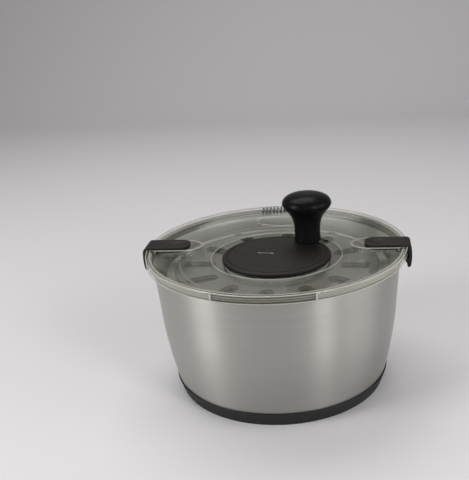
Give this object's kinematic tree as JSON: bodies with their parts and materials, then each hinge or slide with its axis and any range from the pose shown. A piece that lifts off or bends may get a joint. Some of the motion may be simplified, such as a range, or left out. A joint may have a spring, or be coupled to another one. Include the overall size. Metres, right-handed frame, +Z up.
{
  "type": "salad spinner",
  "caption": "Hand-cranked salad spinner: steel bowl on a rubber base, perforated basket, clear geared lid with two press latches, crank disc and mushroom knob.",
  "frame": {"origin": "centre of the base ring's underside, on the spin axis", "axes": "+Z up along the spin axis; the two latches lie on the X axis; the pouring strainer faces +Y"},
  "size_m": [0.27, 0.262, 0.188],
  "materials": {
    "steel_bowl": "circumferentially brushed stainless steel",
    "plain_steel": "plain bright steel",
    "black_rubber": "matte black rubber",
    "clear_plastic": "clear, glossy, slightly grey-green",
    "drive_plastic": "clear plastic",
    "basket_plastic": "frosted translucent plastic",
    "white_acetal": "smooth white acetal",
    "grey_plastic": "grey moulded plastic",
    "black_satin": "satin black, finely textured",
    "black_gloss": "soft gloss black"
  },
  "bodies": {
    "bowl": {"bowl": "steel_bowl", "base_ring": "black_rubber", "pivot_pin": "plain_steel"},
    "pivot_bush": {"pivot_bush": "white_acetal"},
    "basket": {"basket": "basket_plastic"},
    "lid": {"lid_cover": "clear_plastic", "hub_bush": "white_acetal", "ring_gear": "white_acetal", "gear_cover": "grey_plastic", "housing_screws": "plain_steel", "cover_screws": "plain_steel", "latch_pins": "plain_steel", "latch_spring_right": "plain_steel", "latch_spring_left": "plain_steel"},
    "drive": {"sun_gear": "white_acetal", "drive_plate": "drive_plastic", "drive_screw": "plain_steel"},
    "crank": {"crank_disc": "black_satin", "planet_carrier": "grey_plastic", "planet_pins": "plain_steel", "crank_screws": "plain_steel", "knob_axle": "plain_steel"},
    "planet_1": {"planet_gear_1": "white_acetal"},
    "planet_2": {"planet_gear_2": "white_acetal"},
    "planet_3": {"planet_gear_3": "white_acetal"},
    "knob": {"knob_grip": "black_gloss", "knob_cap": "black_gloss"},
    "latch_right": {"latch_right": "black_satin"},
    "latch_left": {"latch_left": "black_satin"}
  },
  "joints": [
    {"name": "lid_lift", "type": "slide", "parent": "bowl", "child": "lid", "axis": [0, 0, 1], "range_m": [0, 0.24]},
    {"name": "basket_lift", "type": "slide", "parent": "bowl", "child": "pivot_bush", "axis": [0, 0, 1], "range_m": [0, 0.144]},
    {"name": "basket_spin", "type": "hinge", "parent": "pivot_bush", "child": "basket", "pos_m": [0, 0, 0.02], "axis": [0, 0, 1], "continuous": true},
    {"name": "crank_spin", "type": "hinge", "parent": "lid", "child": "crank", "pos_m": [0, 0, 0.132], "axis": [0, 0, 1], "continuous": true},
    {"name": "drive_spin", "type": "hinge", "parent": "lid", "child": "drive", "pos_m": [0, 0, 0.115], "axis": [0, 0, 1], "continuous": true},
    {"name": "planet_1_spin", "type": "hinge", "parent": "crank", "child": "planet_1", "pos_m": [0.02415, 0, 0.1205], "axis": [0, 0, 1], "continuous": true},
    {"name": "planet_2_spin", "type": "hinge", "parent": "crank", "child": "planet_2", "pos_m": [-0.01208, 0.02091, 0.1205], "axis": [0, 0, 1], "continuous": true},
    {"name": "planet_3_spin", "type": "hinge", "parent": "crank", "child": "planet_3", "pos_m": [-0.01208, -0.02091, 0.1205], "axis": [0, 0, 1], "continuous": true},
    {"name": "knob_spin", "type": "hinge", "parent": "crank", "child": "knob", "pos_m": [0.02958, 0.03588, 0.14], "axis": [0, 0, 1], "continuous": true},
    {"name": "latch_right_press", "type": "hinge", "parent": "lid", "child": "latch_right", "pos_m": [0.1215, 0, 0.1436], "axis": [0, -1, 0], "range_deg": [0, 12], "stiffness_Nm_per_rad": 0.15, "springref_deg": -20.05, "deforming": ["latch_spring_right"]},
    {"name": "latch_left_press", "type": "hinge", "parent": "lid", "child": "latch_left", "pos_m": [-0.1215, 0, 0.1436], "axis": [0, 1, 0], "range_deg": [0, 12], "stiffness_Nm_per_rad": 0.15, "springref_deg": -20.05, "deforming": ["latch_spring_left"]}
  ],
  "couplings": [
    {"joint": "basket_lift", "follows": "lid_lift", "ratio": 0.6},
    {"joint": "basket_spin", "follows": "crank_spin", "ratio": 4},
    {"joint": "drive_spin", "follows": "crank_spin", "ratio": 4},
    {"joint": "planet_1_spin", "follows": "crank_spin", "ratio": -3},
    {"joint": "planet_2_spin", "follows": "crank_spin", "ratio": -3},
    {"joint": "planet_3_spin", "follows": "crank_spin", "ratio": -3}
  ]
}
